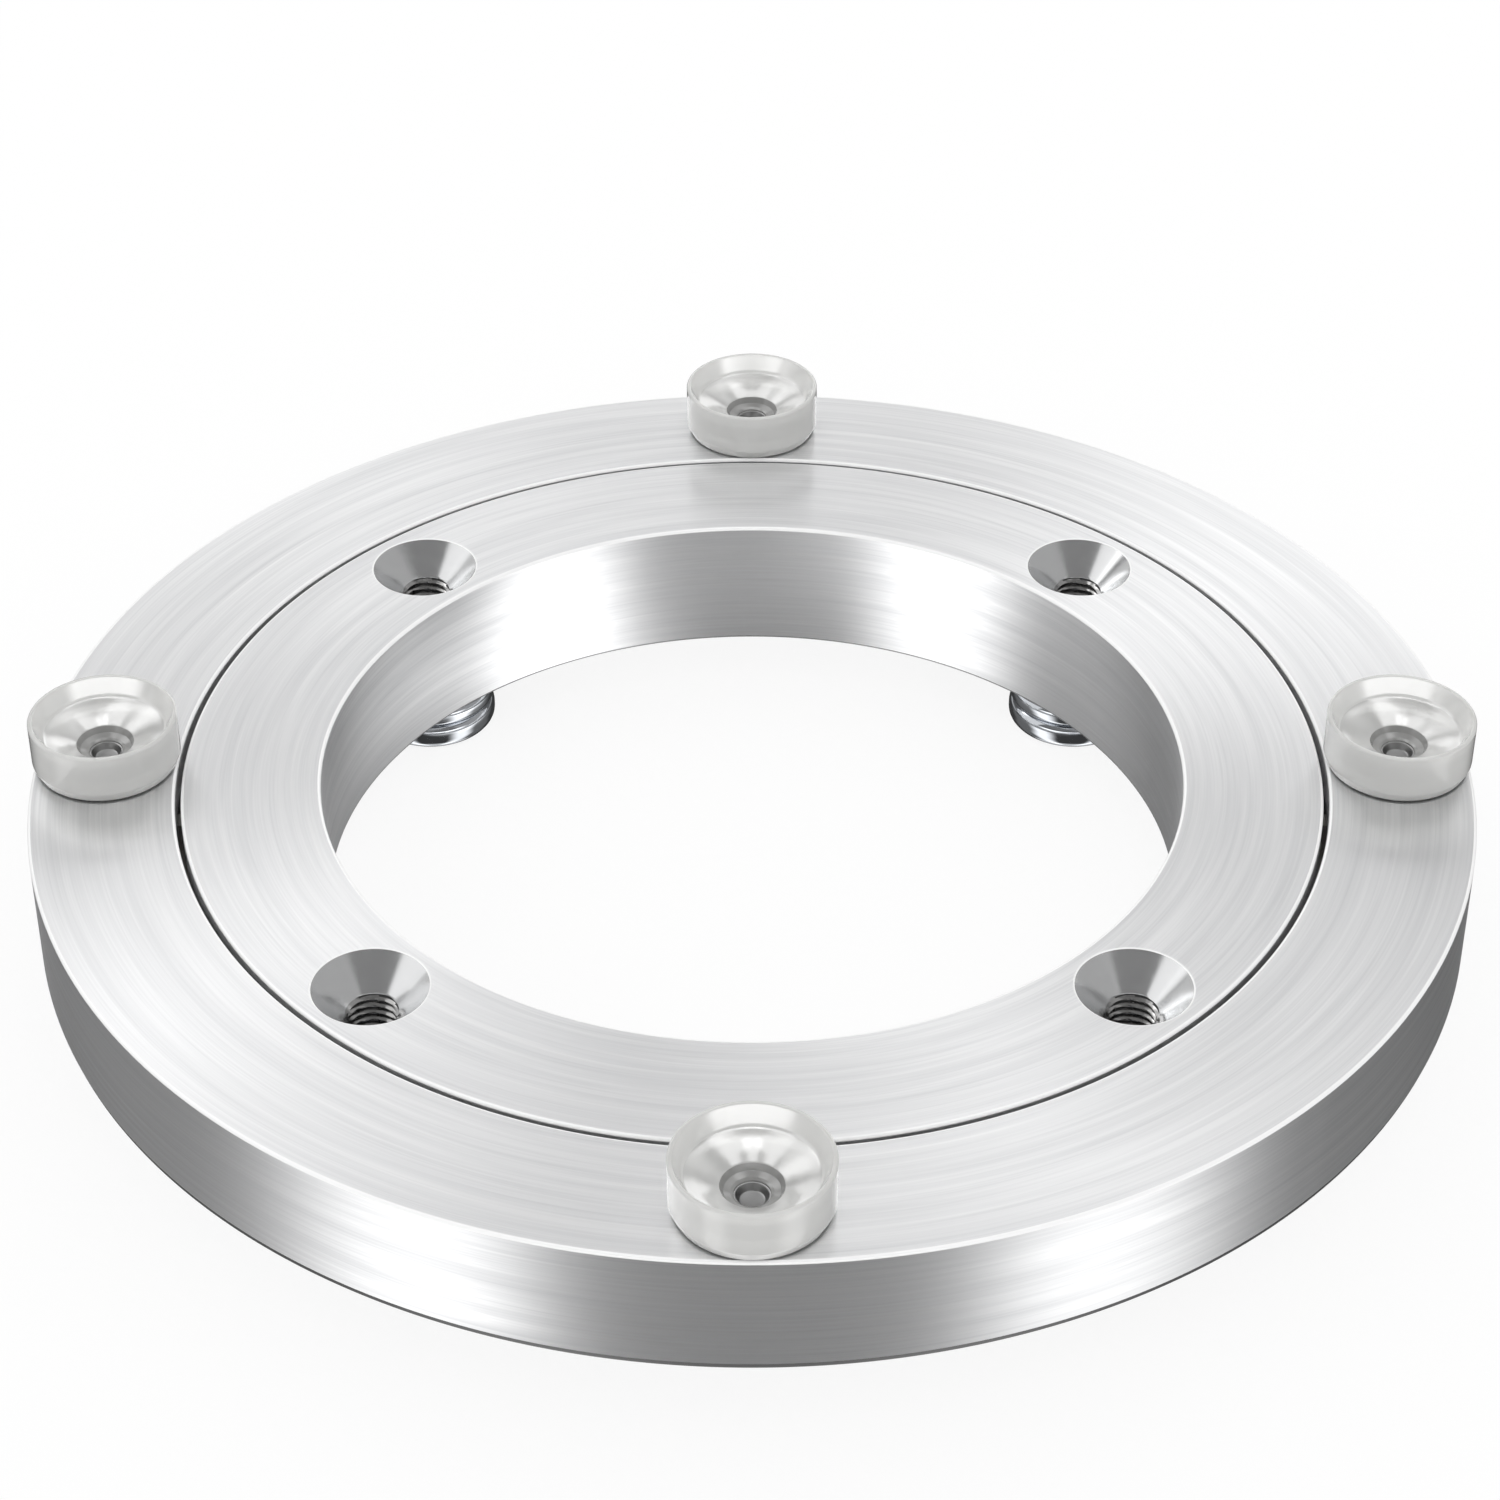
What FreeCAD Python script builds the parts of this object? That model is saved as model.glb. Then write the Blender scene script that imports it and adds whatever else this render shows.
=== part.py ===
"""Lazy susan bearing: two flush aluminium rings that turn on each other on caged steel balls.

Millimetres. The origin is on the turning axis, in the plane that the feet stand on, and +Z points up.
The inner ring is the base: it stands on four chromed feet, screwed into its countersunk holes from below.
The outer ring is the turntable: it carries four soft pads, each moulded round a threaded stud.
Both rings have a 90 degree race with the balls between them, and a crown cage snaps on from below.
The balls go in through a tapped hole in the outer ring's rim, which a set screw then closes.
Where two threads engage, stud and hole are both drawn at the pitch diameter of the thread.
"""

import FreeCAD, Part
import os
import Sketcher

FOLDER = "parts"
ON_AXIS = "0"

SIZES = {
    # Rings, whose widths and gap add up to an outer diameter of 140 and a ball circle of 111.45
    "bore_diameter": 84.0,
    "inner_width": 13.45,
    "ring_gap": 0.55,
    "outer_width": 14.0,
    "inner_thickness": 14.2,
    "outer_thickness": 12.4,
    "edge_chamfer": 0.3,
    # Balls and their races
    "ball_diameter": 5.0,
    "ball_count": 8,
    "ball_depth": 6.2,
    "ball_clearance": 0.05,
    "race_flat": 0.8,
    # Cage
    "cage_width": 1.8,
    "cage_clearance": 0.25,
    "cage_floor": 1.6,
    "cage_hook": 1.3,
    "pocket_clearance": 0.1,
    "prong_width": 1.5,
    "arm_height": 2.4,
    # Countersunk holes in the middle of the inner ring's width, thread M5
    "screw_count": 4,
    "screw_angle": 45.0,
    "screw_thread": 5.0,
    "screw_pitch_diameter": 4.48,
    "countersink_diameter": 10.9,
    "countersink_angle": 90.0,
    "thread_clearance": 0.05,
    "thread_runout": 0.2,
    # Feet
    "foot_diameter": 13.3,
    "foot_height": 5.0,
    "foot_bevel": 0.6,
    "foot_notch_height": 3.0,
    "foot_notch_depth": 0.5,
    "foot_stud_length": 6.0,
    # Soft pads in the middle of the outer ring's width
    "pad_count": 4,
    "pad_diameter": 14.4,
    "pad_height": 5.3,
    "pad_undercut": 0.4,
    "pad_undercut_height": 1.0,
    "pad_rim": 0.45,
    "pad_wall_depth": 1.75,
    "pad_wall_taper": 0.6,
    "pad_floor_drop": 1.15,
    "pad_hole_diameter": 5.4,
    "pad_eye_diameter": 3.1,
    # Studs of the pads, thread M4
    "stud_flange_diameter": 9.3,
    "stud_flange_thickness": 1.1,
    "stud_pitch_diameter": 3.55,
    "stud_length": 5.0,
    # Set screw that closes the filling hole, thread M8
    "plug_pitch_diameter": 7.19,
    "plug_angle": 112.5,
    "plug_recess": 0.5,
    "socket_across_flats": 4.0,
    "socket_depth": 4.0,
}


def size(name):
    """The expression for a size in the sheet."""
    return "Sizes." + name


def half(name):
    """The expression for half of a size in the sheet."""
    return "(Sizes." + name + " / 2)"


# Heights
TOP = f"({size('foot_height')} + {size('inner_thickness')})"
OUTER_BOTTOM = f"({TOP} - {size('outer_thickness')})"
BALL_HEIGHT = f"({TOP} - {size('ball_depth')})"

# Radii
BORE = half("bore_diameter")
GAP = half("ring_gap")
PITCH = f"({BORE} + {size('inner_width')} + {GAP})"
RIM = f"({PITCH} + {GAP} + {size('outer_width')})"
SCREW_CIRCLE = f"({BORE} + {half('inner_width')})"
PAD_CIRCLE = f"({PITCH} + {GAP} + {half('outer_width')})"

# The race: its apex stands this far from the ball circle, and its flanks run at 45 degrees
REACH = f"(({half('ball_diameter')} + {size('ball_clearance')}) * sqrt(2))"
FLAT = half("race_flat")
CHANNEL = f"({half('cage_width')} + {size('cage_clearance')})"
POCKET = f"({half('ball_diameter')} + {size('pocket_clearance')})"


def make_sheet(doc):
    """The driving dimensions, one row each: its name and its value."""
    sheet = doc.addObject("Spreadsheet::Sheet", "Sizes")
    for row, (name, value) in enumerate(SIZES.items(), start=1):
        sheet.set(f"A{row}", name)
        sheet.set(f"B{row}", str(value))
        sheet.setAlias(f"B{row}", name)
    doc.recompute()
    return sheet


def new_body(doc, label):
    """An empty body whose label names its file."""
    body = doc.addObject("PartDesign::Body", label)
    body.Label = label
    return body


def plane(body, role):
    """One of the body's own origin planes."""
    return next(item for item in body.Origin.OriginFeatures if item.Role == role)


def new_sketch(body, name, role):
    """An empty sketch on one of the body's origin planes."""
    sketch = body.newObject("Sketcher::SketchObject", name)
    sketch.AttachmentSupport = [(plane(body, role), "")]
    sketch.MapMode = "FlatFace"
    return sketch


def lift(sketch, height):
    """Move a sketch along its own normal."""
    sketch.setExpression("AttachmentOffset.Base.z", height)


def turn(sketch, angle):
    """Turn a sketch on an upright plane about the vertical axis."""
    upright = FreeCAD.Vector(0, 1, 0)
    sketch.AttachmentOffset = FreeCAD.Placement(FreeCAD.Vector(), FreeCAD.Rotation(upright, 0))
    sketch.setExpression("AttachmentOffset.Rotation.Angle", angle)


def hold_point(sketch, geometry, end, across, up):
    """Hold one point at two distances from the sketch's origin, each an expression."""
    for kind, axis, expression in (("DistanceX", -2, across), ("DistanceY", -1, up)):
        if expression == ON_AXIS:
            sketch.addConstraint(Sketcher.Constraint("PointOnObject", geometry, end, axis))
            continue
        value = float(sketch.evalExpression(expression))
        number = sketch.addConstraint(Sketcher.Constraint(kind, -1, 1, geometry, end, value))
        sketch.setExpression(f"Constraints[{number}]", expression)


def add_outline(sketch, corners):
    """A closed outline of straight lines through corners, each given as two expressions."""
    places = [FreeCAD.Vector(*[float(sketch.evalExpression(e)) for e in corner]) for corner in corners]
    count = len(corners)
    for i, place in enumerate(places):
        sketch.addGeometry(Part.LineSegment(place, places[(i + 1) % count]), False)
    for i in range(count):
        sketch.addConstraint(Sketcher.Constraint("Coincident", i, 2, (i + 1) % count, 1))
    for i, corner in enumerate(corners):
        hold_point(sketch, i, 1, *corner)


def add_circle(sketch, across, up, radius):
    """A circle at a place given as two expressions."""
    centre = [float(sketch.evalExpression(e)) for e in (across, up)]
    start = float(sketch.evalExpression(radius))
    upright = FreeCAD.Vector(0, 0, 1)
    number = sketch.addGeometry(Part.Circle(FreeCAD.Vector(*centre), upright, start), False)
    hold_point(sketch, number, 3, across, up)
    rule = sketch.addConstraint(Sketcher.Constraint("Radius", number, start))
    sketch.setExpression(f"Constraints[{rule}]", radius)


def add_feature(body, kind, name, sketch):
    """A feature of the body that is made from a sketch."""
    feature = body.newObject("PartDesign::" + kind, name)
    feature.Profile = sketch
    sketch.Visibility = False
    return feature


def turned(body, name, corners, kind="Revolution"):
    """A profile turned a full circle about the vertical axis, added or cut away."""
    sketch = new_sketch(body, name + "_profile", "XZ_Plane")
    add_outline(sketch, corners)
    feature = add_feature(body, kind, name, sketch)
    feature.ReferenceAxis = (sketch, ["V_Axis"])
    feature.Angle = 360
    return feature


def drilled(body, name, sketch, depth=None, reverse=False):
    """A pocket with a depth, or through everything."""
    pocket = add_feature(body, "Pocket", name, sketch)
    pocket.Reversed = reverse
    if depth is None:
        pocket.Type = "ThroughAll"
    else:
        pocket.Type = "Length"
        pocket.setExpression("Length", depth)
    return pocket


def repeated(body, name, features, count):
    """The same features repeated round the vertical axis."""
    pattern = body.newObject("PartDesign::PolarPattern", name)
    pattern.Originals = features
    pattern.Axis = (next(i for i in body.Origin.OriginFeatures if i.Role == "Z_Axis"), [""])
    pattern.Angle = 360
    pattern.setExpression("Occurrences", count)
    body.Tip = pattern
    return pattern


def place_round(body, radius, angle, height):
    """Stand a turned piece at a radius, an angle and a height."""
    body.setExpression("Placement.Base.x", f"{radius} * cos({angle} * 1deg)")
    body.setExpression("Placement.Base.y", f"{radius} * sin({angle} * 1deg)")
    body.setExpression("Placement.Base.z", height)


def make_outer_ring(doc):
    """The turntable: a turned ring with its race, tapped holes for the pads and the filling hole."""
    body = new_body(doc, "outer_ring")
    chamfer = size("edge_chamfer")
    corners = [
        (f"{PITCH} + {CHANNEL}", OUTER_BOTTOM),
        (f"{RIM} - {chamfer}", OUTER_BOTTOM),
        (RIM, f"{OUTER_BOTTOM} + {chamfer}"),
        (RIM, f"{TOP} - {chamfer}"),
        (f"{RIM} - {chamfer}", TOP),
        (f"{PITCH} + {GAP} + {chamfer}", TOP),
        (f"{PITCH} + {GAP}", f"{TOP} - {chamfer}"),
        (f"{PITCH} + {GAP}", f"{BALL_HEIGHT} + {REACH} - {GAP}"),
        (f"{PITCH} + {REACH} - {FLAT}", f"{BALL_HEIGHT} + {FLAT}"),
        (f"{PITCH} + {REACH} - {FLAT}", f"{BALL_HEIGHT} - {FLAT}"),
        (f"{PITCH} + {CHANNEL}", f"{BALL_HEIGHT} - {REACH} + {CHANNEL}"),
    ]
    turned(body, "outer_ring_turning", corners)

    sketch = new_sketch(body, "pad_hole_circle", "XY_Plane")
    lift(sketch, TOP)
    hole_radius = f"{half('stud_pitch_diameter')} + {size('thread_clearance')}"
    add_circle(sketch, PAD_CIRCLE, ON_AXIS, hole_radius)
    depth = f"{size('stud_length')} + {size('thread_runout')}"
    hole = drilled(body, "pad_hole", sketch, depth)
    doc.recompute()
    repeated(body, "pad_holes", [hole], size("pad_count"))

    sketch = new_sketch(body, "filling_hole_circle", "XZ_Plane")
    turn(sketch, f"({size('plug_angle')} - 90) * 1deg")
    add_circle(sketch, ON_AXIS, BALL_HEIGHT, f"{half('plug_pitch_diameter')} + {size('thread_clearance')}")
    drilled(body, "filling_hole", sketch)
    return body


def make_inner_ring(doc):
    """The base: a turned ring with its race and four countersunk, tapped holes."""
    body = new_body(doc, "inner_ring")
    chamfer = size("edge_chamfer")
    bottom = size("foot_height")
    corners = [
        (f"{PITCH} - {CHANNEL}", bottom),
        (f"{BORE} + {chamfer}", bottom),
        (BORE, f"{bottom} + {chamfer}"),
        (BORE, f"{TOP} - {chamfer}"),
        (f"{BORE} + {chamfer}", TOP),
        (f"{PITCH} - {GAP} - {chamfer}", TOP),
        (f"{PITCH} - {GAP}", f"{TOP} - {chamfer}"),
        (f"{PITCH} - {GAP}", f"{BALL_HEIGHT} + {REACH} - {GAP}"),
        (f"{PITCH} - {REACH} + {FLAT}", f"{BALL_HEIGHT} + {FLAT}"),
        (f"{PITCH} - {REACH} + {FLAT}", f"{BALL_HEIGHT} - {FLAT}"),
        (f"{PITCH} - {CHANNEL}", f"{BALL_HEIGHT} - {REACH} + {CHANNEL}"),
    ]
    turned(body, "inner_ring_turning", corners)

    across = f"{SCREW_CIRCLE} * cos({size('screw_angle')} * 1deg)"
    along = f"{SCREW_CIRCLE} * sin({size('screw_angle')} * 1deg)"
    foot_thread = f"({size('foot_stud_length')} + {size('thread_runout')})"

    sketch = new_sketch(body, "screw_hole_circle", "XY_Plane")
    lift(sketch, TOP)
    add_circle(sketch, across, along, half("screw_thread"))
    doc.recompute()
    screw_hole = add_feature(body, "Hole", "screw_hole", sketch)
    screw_hole.DepthType = "Dimension"
    screw_hole.DrillPoint = "Flat"
    screw_hole.HoleCutType = "Countersink"
    screw_hole.setExpression("Diameter", size("screw_thread"))
    screw_hole.setExpression("HoleCutDiameter", size("countersink_diameter"))
    screw_hole.setExpression("HoleCutCountersinkAngle", size("countersink_angle") + " * 1deg")
    screw_hole.setExpression("Depth", f"{size('inner_thickness')} - {foot_thread}")
    doc.recompute()

    sketch = new_sketch(body, "foot_hole_circle", "XY_Plane")
    lift(sketch, bottom)
    hole_radius = f"{half('screw_pitch_diameter')} + {size('thread_clearance')}"
    add_circle(sketch, across, along, hole_radius)
    foot_hole = drilled(body, "foot_hole", sketch, foot_thread, reverse=True)
    doc.recompute()
    repeated(body, "screw_holes", [screw_hole, foot_hole], size("screw_count"))
    return body


def make_ball(doc, label, angle):
    """One rolling ball on the ball circle: a half disc turned about its own upright axis."""
    body = new_body(doc, label)
    radius = half("ball_diameter")
    sketch = new_sketch(body, label + "_profile", "XZ_Plane")
    reach = float(sketch.evalExpression(radius))
    low = FreeCAD.Vector(0, -reach)
    high = FreeCAD.Vector(0, reach)
    side = FreeCAD.Vector(reach, 0)
    line = sketch.addGeometry(Part.LineSegment(high, low), False)
    arc = sketch.addGeometry(Part.Arc(low, side, high), False)
    sketch.addConstraint(Sketcher.Constraint("Coincident", line, 2, arc, 1))
    sketch.addConstraint(Sketcher.Constraint("Coincident", line, 1, arc, 2))
    sketch.addConstraint(Sketcher.Constraint("Vertical", line))
    sketch.addConstraint(Sketcher.Constraint("Coincident", arc, 3, -1, 1))
    rule = sketch.addConstraint(Sketcher.Constraint("Radius", arc, reach))
    sketch.setExpression(f"Constraints[{rule}]", radius)
    ball = add_feature(body, "Revolution", label + "_turning", sketch)
    ball.ReferenceAxis = (sketch, ["V_Axis"])
    ball.Angle = 360
    place_round(body, PITCH, angle, BALL_HEIGHT)
    return body


def make_ball_cage(doc):
    """The crown cage: a band with open pockets that snap over the balls from below."""
    body = new_body(doc, "ball_cage")
    inside = f"{PITCH} - {half('cage_width')}"
    outside = f"{PITCH} + {half('cage_width')}"
    bottom = f"{BALL_HEIGHT} - {POCKET} - {size('cage_floor')}"
    top = f"{BALL_HEIGHT} + {size('cage_hook')}"
    corners = [(inside, bottom), (outside, bottom), (outside, top), (inside, top)]
    turned(body, "cage_band", corners)

    sketch = new_sketch(body, "pocket_circle", "YZ_Plane")
    add_circle(sketch, ON_AXIS, BALL_HEIGHT, POCKET)
    pocket = drilled(body, "cage_pocket", sketch, reverse=True)

    sketch = new_sketch(body, "cage_window_profile", "XZ_Plane")
    turn(sketch, f"180 / {size('ball_count')} * 1deg")
    arm_top = f"{bottom} + {size('arm_height')}"
    clear_in = f"{PITCH} - {size('cage_width')}"
    clear_out = f"{PITCH} + {size('cage_width')}"
    clear_top = f"{top} + {size('cage_hook')}"
    window = [(clear_in, arm_top), (clear_out, arm_top), (clear_out, clear_top), (clear_in, clear_top)]
    add_outline(sketch, window)
    groove = add_feature(body, "Groove", "cage_window", sketch)
    groove.ReferenceAxis = (sketch, ["V_Axis"])
    groove.Midplane = True
    prong = f"asin(({POCKET} + {size('prong_width')}) / {PITCH})"
    groove.setExpression("Angle", f"360deg / {size('ball_count')} - 2 * {prong}")
    doc.recompute()
    repeated(body, "cage_pockets", [pocket, groove], size("ball_count"))
    return body


def make_filler_plug(doc):
    """The set screw in the filling hole: its inner end carries on the race of the outer ring."""
    body = new_body(doc, "filler_plug")
    radius = half("plug_pitch_diameter")
    sketch = new_sketch(body, "plug_circle", "YZ_Plane")
    lift(sketch, PITCH)
    add_circle(sketch, ON_AXIS, BALL_HEIGHT, radius)
    shank = add_feature(body, "Pad", "plug_shank", sketch)
    shank.setExpression("Length", f"{RIM} - {size('plug_recess')} - {PITCH}")
    doc.recompute()

    inside = f"{PITCH} - {half('ball_diameter')}"
    above = f"{BALL_HEIGHT} + {size('plug_pitch_diameter')}"
    below = f"{BALL_HEIGHT} - {size('plug_pitch_diameter')}"
    corners = [
        (inside, below),
        (f"{PITCH} + {CHANNEL}", below),
        (f"{PITCH} + {CHANNEL}", f"{BALL_HEIGHT} - {REACH} + {CHANNEL}"),
        (f"{PITCH} + {REACH} - {FLAT}", f"{BALL_HEIGHT} - {FLAT}"),
        (f"{PITCH} + {REACH} - {FLAT}", f"{BALL_HEIGHT} + {FLAT}"),
        (f"{PITCH} + {GAP}", f"{BALL_HEIGHT} + {REACH} - {GAP}"),
        (f"{PITCH} + {GAP}", above),
        (inside, above),
    ]
    turned(body, "plug_race", corners, kind="Groove")
    doc.recompute()

    sketch = new_sketch(body, "socket_hexagon", "YZ_Plane")
    lift(sketch, f"{RIM} - {size('plug_recess')}")
    flat = half("socket_across_flats")
    corner = f"({size('socket_across_flats')} / sqrt(3))"
    centre = BALL_HEIGHT
    hexagon = [
        (ON_AXIS, f"{centre} - {corner}"),
        (flat, f"{centre} - {corner} / 2"),
        (flat, f"{centre} + {corner} / 2"),
        (ON_AXIS, f"{centre} + {corner}"),
        (f"-{flat}", f"{centre} + {corner} / 2"),
        (f"-{flat}", f"{centre} - {corner} / 2"),
    ]
    add_outline(sketch, hexagon)
    drilled(body, "plug_socket", sketch, size("socket_depth"))
    body.Placement = FreeCAD.Placement(FreeCAD.Vector(), FreeCAD.Rotation(FreeCAD.Vector(0, 0, 1), 0))
    body.setExpression("Placement.Rotation.Angle", size("plug_angle") + " * 1deg")
    return body


def make_foot(doc, label, angle):
    """One foot: a turned disc in two tiers with a stud that screws up into the inner ring."""
    body = new_body(doc, label)
    radius = half("foot_diameter")
    bevel = size("foot_bevel")
    notch = size("foot_notch_height")
    depth = size("foot_notch_depth")
    stud = half("screw_pitch_diameter")
    stud_top = f"{size('foot_height')} + {size('foot_stud_length')}"
    corners = [
        (ON_AXIS, ON_AXIS),
        (f"{radius} - {bevel}", ON_AXIS),
        (radius, bevel),
        (radius, f"{notch} - {depth} / 2"),
        (f"{radius} - {depth}", notch),
        (radius, f"{notch} + {depth} / 2"),
        (radius, size("foot_height")),
        (stud, size("foot_height")),
        (stud, stud_top),
        (ON_AXIS, stud_top),
    ]
    turned(body, label + "_turning", corners)
    place_round(body, SCREW_CIRCLE, angle, "0")
    return body


def make_pad(doc, label, angle):
    """One soft pad: a dished button moulded round the flange of its stud."""
    body = new_body(doc, label)
    radius = half("pad_diameter")
    height = size("pad_height")
    flange = half("stud_flange_diameter")
    ceiling = size("stud_flange_thickness")
    dish = f"{radius} - {size('pad_rim')}"
    wall_foot = f"{height} - {size('pad_wall_depth')}"
    corners = [
        (flange, ON_AXIS),
        (f"{radius} - {size('pad_undercut')}", ON_AXIS),
        (radius, size("pad_undercut_height")),
        (radius, height),
        (dish, height),
        (f"{dish} - {size('pad_wall_taper')}", wall_foot),
        (half("pad_hole_diameter"), f"{wall_foot} - {size('pad_floor_drop')}"),
        (half("pad_eye_diameter"), ceiling),
        (flange, ceiling),
    ]
    turned(body, label + "_moulding", corners)
    place_round(body, PAD_CIRCLE, angle, TOP)
    return body


def make_pad_stud(doc, label, angle):
    """The stud of one pad: a flange on the outer ring's face and a thread into its tapped hole."""
    body = new_body(doc, label)
    flange = half("stud_flange_diameter")
    thread = half("stud_pitch_diameter")
    thickness = size("stud_flange_thickness")
    length = size("stud_length")
    corners = [
        (ON_AXIS, ON_AXIS),
        (thread, ON_AXIS),
        (thread, length),
        (flange, length),
        (flange, f"{length} + {thickness}"),
        (ON_AXIS, f"{length} + {thickness}"),
    ]
    turned(body, label + "_turning", corners)
    place_round(body, PAD_CIRCLE, angle, f"{TOP} - {length}")
    return body


def check_document(doc):
    """Stop if any object failed to rebuild."""
    for item in doc.Objects:
        if "Invalid" in item.State or "Error" in item.State:
            raise RuntimeError(f"{item.Label} is in state {item.State}")


def write_part(body):
    """Check one sub-part and write it to its STEP file."""
    shape = body.Shape
    if shape.isNull() or not shape.isValid():
        raise RuntimeError(f"{body.Label} has no valid shape")
    if len(shape.Solids) != 1:
        raise RuntimeError(f"{body.Label} has {len(shape.Solids)} solids, not one")
    shape.exportStep(os.path.join(FOLDER, body.Label + ".step"))
    print(f"{body.Label}: {shape.Volume:.2f} mm3")


def main():
    doc = FreeCAD.newDocument("LazySusanBearing")
    sheet = make_sheet(doc)
    bodies = [
        make_inner_ring(doc),
        make_outer_ring(doc),
        make_ball_cage(doc),
        make_filler_plug(doc),
    ]
    for i in range(int(sheet.ball_count)):
        angle = f"({i} * 360 / {size('ball_count')})"
        bodies.append(make_ball(doc, f"ball_{i + 1}", angle))
    for i in range(int(sheet.screw_count)):
        angle = f"({size('screw_angle')} + {i} * 360 / {size('screw_count')})"
        bodies.append(make_foot(doc, f"foot_{i + 1}", angle))
    for i in range(int(sheet.pad_count)):
        angle = f"({i} * 360 / {size('pad_count')})"
        bodies.append(make_pad(doc, f"pad_{i + 1}", angle))
        bodies.append(make_pad_stud(doc, f"pad_stud_{i + 1}", angle))
    doc.recompute()
    check_document(doc)
    os.makedirs(FOLDER, exist_ok=True)
    for body in bodies:
        write_part(body)


main()
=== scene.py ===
"""Looks of a lazy susan bearing: two brushed aluminium rings, four clear soft pads and four chromed feet.

Sizes are in millimetres and MM turns them into Blender's metres. Angles are in degrees.
The pieces that replace CAD nodes keep their sizes: they add rounded edges, threads and moulded detail.
"""

import math
from collections import namedtuple

import bmesh
import bpy
from mathutils import Matrix, Vector


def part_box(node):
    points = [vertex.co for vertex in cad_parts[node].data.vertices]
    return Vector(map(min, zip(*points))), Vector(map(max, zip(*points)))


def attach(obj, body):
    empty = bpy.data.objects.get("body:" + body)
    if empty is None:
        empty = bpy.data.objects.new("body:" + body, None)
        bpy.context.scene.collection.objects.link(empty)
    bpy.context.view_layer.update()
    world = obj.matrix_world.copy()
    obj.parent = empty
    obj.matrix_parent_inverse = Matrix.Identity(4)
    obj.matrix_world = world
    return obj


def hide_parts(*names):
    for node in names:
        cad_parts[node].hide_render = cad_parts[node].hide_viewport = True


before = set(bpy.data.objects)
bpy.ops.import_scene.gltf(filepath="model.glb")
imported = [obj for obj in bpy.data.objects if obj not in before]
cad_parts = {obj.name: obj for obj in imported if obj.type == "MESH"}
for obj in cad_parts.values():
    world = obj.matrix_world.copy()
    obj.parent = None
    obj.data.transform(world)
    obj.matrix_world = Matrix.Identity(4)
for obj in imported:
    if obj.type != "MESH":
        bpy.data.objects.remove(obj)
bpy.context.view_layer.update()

MM = 0.001

# Camera, fitted to the photograph
CAMERA_PLACE = (-0.0002, -0.2894, 0.2313)
CAMERA_TILT = 53.92
CAMERA_LENS = 88.1
SENSOR = 36.0

# Rings, read from the frame
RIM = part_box("outer_ring")[1].x / MM
OUTER_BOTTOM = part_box("outer_ring")[0].z / MM
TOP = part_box("outer_ring")[1].z / MM
INNER_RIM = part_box("inner_ring")[1].x / MM
INNER_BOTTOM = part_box("inner_ring")[0].z / MM
RING_SEGMENTS = 384
BORE = 42.0
OUTER_BORE = 56.0
PITCH = (INNER_RIM + OUTER_BORE) / 2
GAP = (OUTER_BORE - INNER_RIM) / 2
EDGE = 0.3
EDGE_BELOW = 0.15
RIM_BEVEL_WIDTH = 0.18
RIM_BEVEL_HEIGHT = 0.62
RIM_BEVEL_ROUNDING = 0.05

# Race and the channel of the cage
BALL_HEIGHT = 13.0
REACH = 3.606
FLAT = 0.4
CHANNEL = 1.15

# Countersunk, tapped holes of the inner ring
HOLE_CIRCLE = 48.725
HOLE_ANGLES = (45.0, 135.0, 225.0, 315.0)
HOLE_SEGMENTS = 72
HOLE_RADIUS = 2.5
THREAD_MINOR = 2.15
THREAD_PITCH = 0.8
THREAD_STEP = 0.1
THREAD_FLAT = 0.2
THREAD_LOW = 11.2
THREAD_MARGIN = 0.05
FOOT_HOLE_RADIUS = 2.29
SINK_RADIUS = 5.45
SINK_EDGE = 0.25
SINK_EDGE_ANGLES = (45, 33, 21, 9)
CONE_LOW = TOP - SINK_RADIUS + HOLE_RADIUS
CONE_ROWS = (0.5, 1.6)
CONE_FIRST_ROWS = 4
CUT_PAST = 1.0

# Holes of the outer ring
PAD_CIRCLE = 63.0
PAD_ANGLES = (0.0, 90.0, 180.0, 270.0)
PAD_HOLE_RADIUS = 1.825
PAD_HOLE_DEPTH = 5.2
PLUG_ANGLE = 112.5
PLUG_HOLE_RADIUS = 3.645
PLUG_SINK = 0.25

# Pads, with heights from the top of the rings
PAD_RADIUS = 7.2
PAD_HEIGHT = 5.3
PAD_MOUTH_RADIUS = 6.8
PAD_MOUTH_HEIGHT = 5.2
PAD_DISH_HEIGHT = 3.5
PAD_WELL_RADIUS = 2.8
PAD_EYE_RADIUS = 1.55

# Studs of the pads, with heights from the top of the rings
FLANGE_RADIUS = 4.65
FLANGE_HEIGHT = 1.1
STUD_LENGTH = 5.0
STUD_RADIUS = 1.775
STUD_EYE_RADIUS = 1.45

# Feet
FOOT_RADIUS = 6.65
FOOT_HEIGHT = 5.0
FOOT_NECK_RADIUS = 5.2
FOOT_STUD_RADIUS = 2.24
FOOT_STUD_TOP = 11.0

# Meshes
PAD_SEGMENTS = 160
FOOT_SEGMENTS = 128
STUD_SEGMENTS = 96
ARC_STEP = 15.0
SUPPORT = 0.05
ON_AXIS = 0.005
SHARP_ANGLE = 32.0

# Materials by their place in the lists of main(): the plain one of every piece, and those of the rings, the
# cut surfaces, the pads and the studs
PLAIN = 0
# The top bevels' near-white is a painted highlight; the dark of the bore's and the rim's low bevels is
# painted shade
TOP_EDGE_HIGHLIGHT, BORE_EDGE_SHADE, RIM_EDGE_SHADE = 1, 2, 3
# The edges of the cut holes get the top bevels' near-white, a painted highlight
BORED, TAPPED, EDGE_HIGHLIGHT, ROOT_SHADE = 0, 1, 2, 3
# The pads' dark base line and grey well are painted shade
BASE_SHADE, DISH, WELL_SHADE, PAD_RIM = 1, 2, 3, 4
# The stud's eye is darkened as painted shade
EYE_SHADE = 1

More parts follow.
